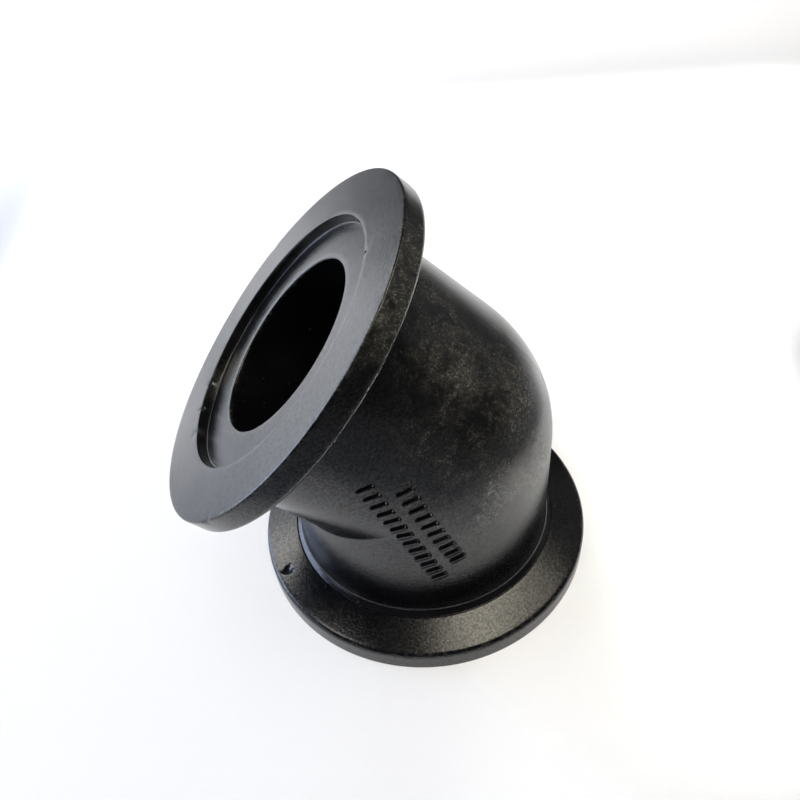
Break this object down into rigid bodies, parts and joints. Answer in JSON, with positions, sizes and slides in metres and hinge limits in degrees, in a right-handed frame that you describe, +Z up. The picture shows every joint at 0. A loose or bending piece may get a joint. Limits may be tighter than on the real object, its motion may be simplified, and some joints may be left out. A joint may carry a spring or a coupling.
{
  "type": "pipe elbow",
  "caption": "45 degree pipe elbow moulded in one piece, with a clamp flange, a gasket recess and a round bore at each end.",
  "frame": {"origin": "middle of the part's footprint box, on the plane of the lower flange's face", "axes": "+Z up along the lower port's axis, into the part; Y = 0 is the plane of both port axes; the upper port leaves towards -X and +Z at 45 degrees"},
  "size_m": [0.0604, 0.0508, 0.0593],
  "materials": {
    "black_polypropylene": "satin, fine moulded grain"
  },
  "bodies": {
    "root": {"elbow_body": "black_polypropylene"}
  },
  "joints": []
}
